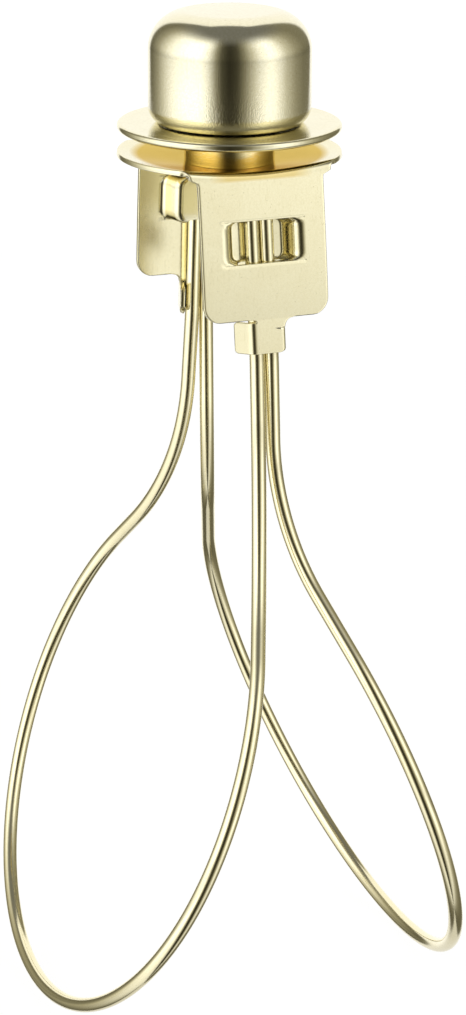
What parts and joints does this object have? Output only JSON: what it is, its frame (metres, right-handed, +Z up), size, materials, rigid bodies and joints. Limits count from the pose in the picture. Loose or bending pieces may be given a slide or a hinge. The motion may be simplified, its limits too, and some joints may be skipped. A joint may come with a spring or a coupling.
{
  "type": "clip-on lampshade adapter",
  "caption": "Adapter that clips over a light bulb with sprung wire loops and holds a lampshade's ring between a bowl-shaped bracket disc and a screw-down dish under a round cap.",
  "frame": {"origin": "on the screw axis, where the neck stands on the bracket's disc", "axes": "+Z up along the screw axis through the cap, -Y out of the front plate, +X towards the right wire loop"},
  "size_m": [0.0508, 0.0644, 0.1201],
  "materials": {
    "bracket_sheet": "pale brass plating on folded steel sheet",
    "turned_brass": "turned brass",
    "dish_sheet": "pale brass plating on pressed steel sheet",
    "cap_sheet": "satin pale brass plating on a drawn shell",
    "spring_wire": "bright pale brass plating on spring wire"
  },
  "bodies": {
    "root": {"bracket": "bracket_sheet", "threaded_stud": "turned_brass"},
    "dish": {"retaining_dish": "dish_sheet"},
    "cap": {"cap_shell": "cap_sheet", "cap_nut": "turned_brass"},
    "left_loop": {"left_wire_loop": "spring_wire"},
    "right_loop": {"right_wire_loop": "spring_wire"}
  },
  "joints": [
    {"name": "dish_lift", "type": "slide", "parent": "root", "child": "dish", "axis": [0, 0, 1], "range_m": [0, 0.0066]},
    {"name": "cap_turn", "type": "hinge", "parent": "dish", "child": "cap", "pos_m": [0, 0, 0], "axis": [0, 0, 1], "range_deg": [0, 2520]},
    {"name": "left_loop_flex", "type": "hinge", "parent": "root", "child": "left_loop", "pos_m": [0, 0, -0.021], "axis": [0, 1, 0], "range_deg": [0, 8], "stiffness_Nm_per_rad": 6, "deforming": ["left_wire_loop"]},
    {"name": "right_loop_flex", "type": "hinge", "parent": "root", "child": "right_loop", "pos_m": [0, 0, -0.021], "axis": [0, -1, 0], "range_deg": [0, 8], "stiffness_Nm_per_rad": 6, "deforming": ["right_wire_loop"]}
  ],
  "couplings": [
    {"joint": "dish_lift", "follows": "cap_turn", "m_per_rad": 0.00014972}
  ]
}
